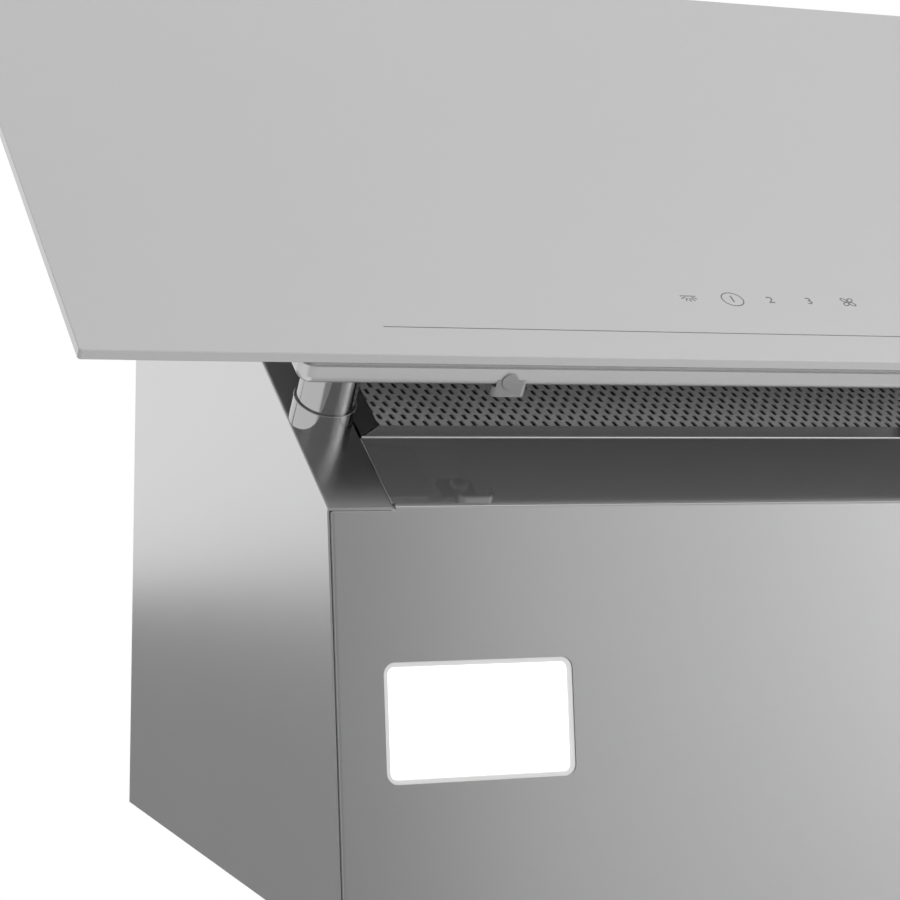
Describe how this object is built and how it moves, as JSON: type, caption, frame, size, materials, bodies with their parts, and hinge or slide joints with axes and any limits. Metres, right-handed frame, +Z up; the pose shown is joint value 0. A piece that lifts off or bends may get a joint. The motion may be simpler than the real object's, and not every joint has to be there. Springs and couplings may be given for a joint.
{
  "type": "wall mount range hood",
  "caption": "Slanted wall mount range hood: steel body, perforated grease filter, square lamps, blower with duct collar, and a glass front on a tray that slides out on tubes.",
  "frame": {"origin": "centre of the four wall fixing holes, on the wall plane", "axes": "+Y into the wall, +Z up, +X to the right of someone who faces the hood"},
  "size_m": [0.898, 0.5897, 0.49],
  "materials": {
    "steel_satin": "satin stainless steel",
    "steel_polished": "polished stainless steel",
    "steel_bright": "bright polished tube",
    "steel_plain": "plain galvanised or bare steel sheet",
    "filter_steel": "satin stainless steel",
    "filter_wire": "aluminium wire mesh",
    "magnet": "plain dark magnet",
    "glass_painted": "clear glass painted pale grey on its back, polished edges",
    "lamp_lens": "white translucent plastic",
    "lamp_bezel": "pale satin moulding",
    "lamp_box": "white moulding",
    "board": "green circuit board",
    "black_plastic": "black moulding",
    "motor_can": "dark painted can",
    "pale_plastic": "pale moulding"
  },
  "bodies": {
    "hood": {"side_panel_left": "steel_satin", "side_panel_right": "steel_satin", "back_panel": "steel_plain", "top_panel": "steel_satin", "underside_panel": "steel_satin", "front_upper_panel": "steel_polished", "filter_magnets": "magnet", "filter_hinge_ear_left": "steel_plain", "filter_hinge_ear_right": "steel_plain", "guide_collar_lower_left": "steel_bright", "guide_collar_lower_right": "steel_bright", "guide_collar_upper_left": "steel_bright", "guide_collar_upper_right": "steel_bright", "guide_rail_left": "steel_plain", "guide_rail_right": "steel_plain", "led_bezel_left": "lamp_bezel", "led_bezel_right": "lamp_bezel", "led_diffuser_left": "lamp_lens", "led_diffuser_right": "lamp_lens", "led_housing_left": "lamp_box", "led_housing_right": "lamp_box", "led_board_left": "board", "led_board_right": "board", "blower_scroll": "steel_plain", "blower_side_left": "steel_plain", "blower_side_right": "steel_plain", "motor_bracket": "steel_plain", "motor_body": "motor_can", "duct_base": "steel_plain", "duct_collar": "steel_plain", "flap_pins": "steel_plain", "outlet_screws": "steel_plain", "control_box": "steel_plain", "control_box_lid": "steel_plain", "control_board": "board", "terminal_block": "pale_plastic", "run_capacitor": "pale_plastic", "cable_gland": "black_plastic"},
    "glass_lift": {"glass_panel": "glass_painted", "glass_frame": "steel_satin", "support_tray": "steel_polished", "touch_board": "board", "touch_carrier": "black_plastic", "lift_tube_lower_left": "steel_bright", "lift_tube_lower_right": "steel_bright", "lift_tube_upper_left": "steel_bright", "lift_tube_upper_right": "steel_bright", "catch_strip_left": "steel_polished", "catch_strip_right": "steel_polished", "catch_buttons": "steel_plain", "catch_screws": "steel_plain"},
    "filter": {"filter_frame": "filter_steel", "filter_face": "filter_steel", "filter_mesh": "filter_wire", "filter_back": "filter_steel"},
    "wheel": {"impeller": "black_plastic", "wheel_disc": "black_plastic", "motor_shaft": "steel_plain"},
    "flap_front": {"flap_front": "steel_plain"},
    "flap_rear": {"flap_rear": "steel_plain"}
  },
  "joints": [
    {"name": "panel_slide", "type": "slide", "parent": "hood", "child": "glass_lift", "axis": [0, -0.8391, -0.544], "range_m": [-0.024, 0]},
    {"name": "filter_hinge", "type": "hinge", "parent": "hood", "child": "filter", "pos_m": [0, -0.45655, 0.16195], "axis": [-1, 0, 0], "range_deg": [0, 6]},
    {"name": "wheel_spin", "type": "hinge", "parent": "hood", "child": "wheel", "pos_m": [0, -0.165, 0.033], "axis": [1, 0, 0], "continuous": true},
    {"name": "flap_front_hinge", "type": "hinge", "parent": "hood", "child": "flap_front", "pos_m": [0, -0.126, 0.235], "axis": [-1, 0, 0], "range_deg": [0, 80]},
    {"name": "flap_rear_hinge", "type": "hinge", "parent": "hood", "child": "flap_rear", "pos_m": [0, -0.118, 0.235], "axis": [1, 0, 0], "range_deg": [0, 80]}
  ]
}
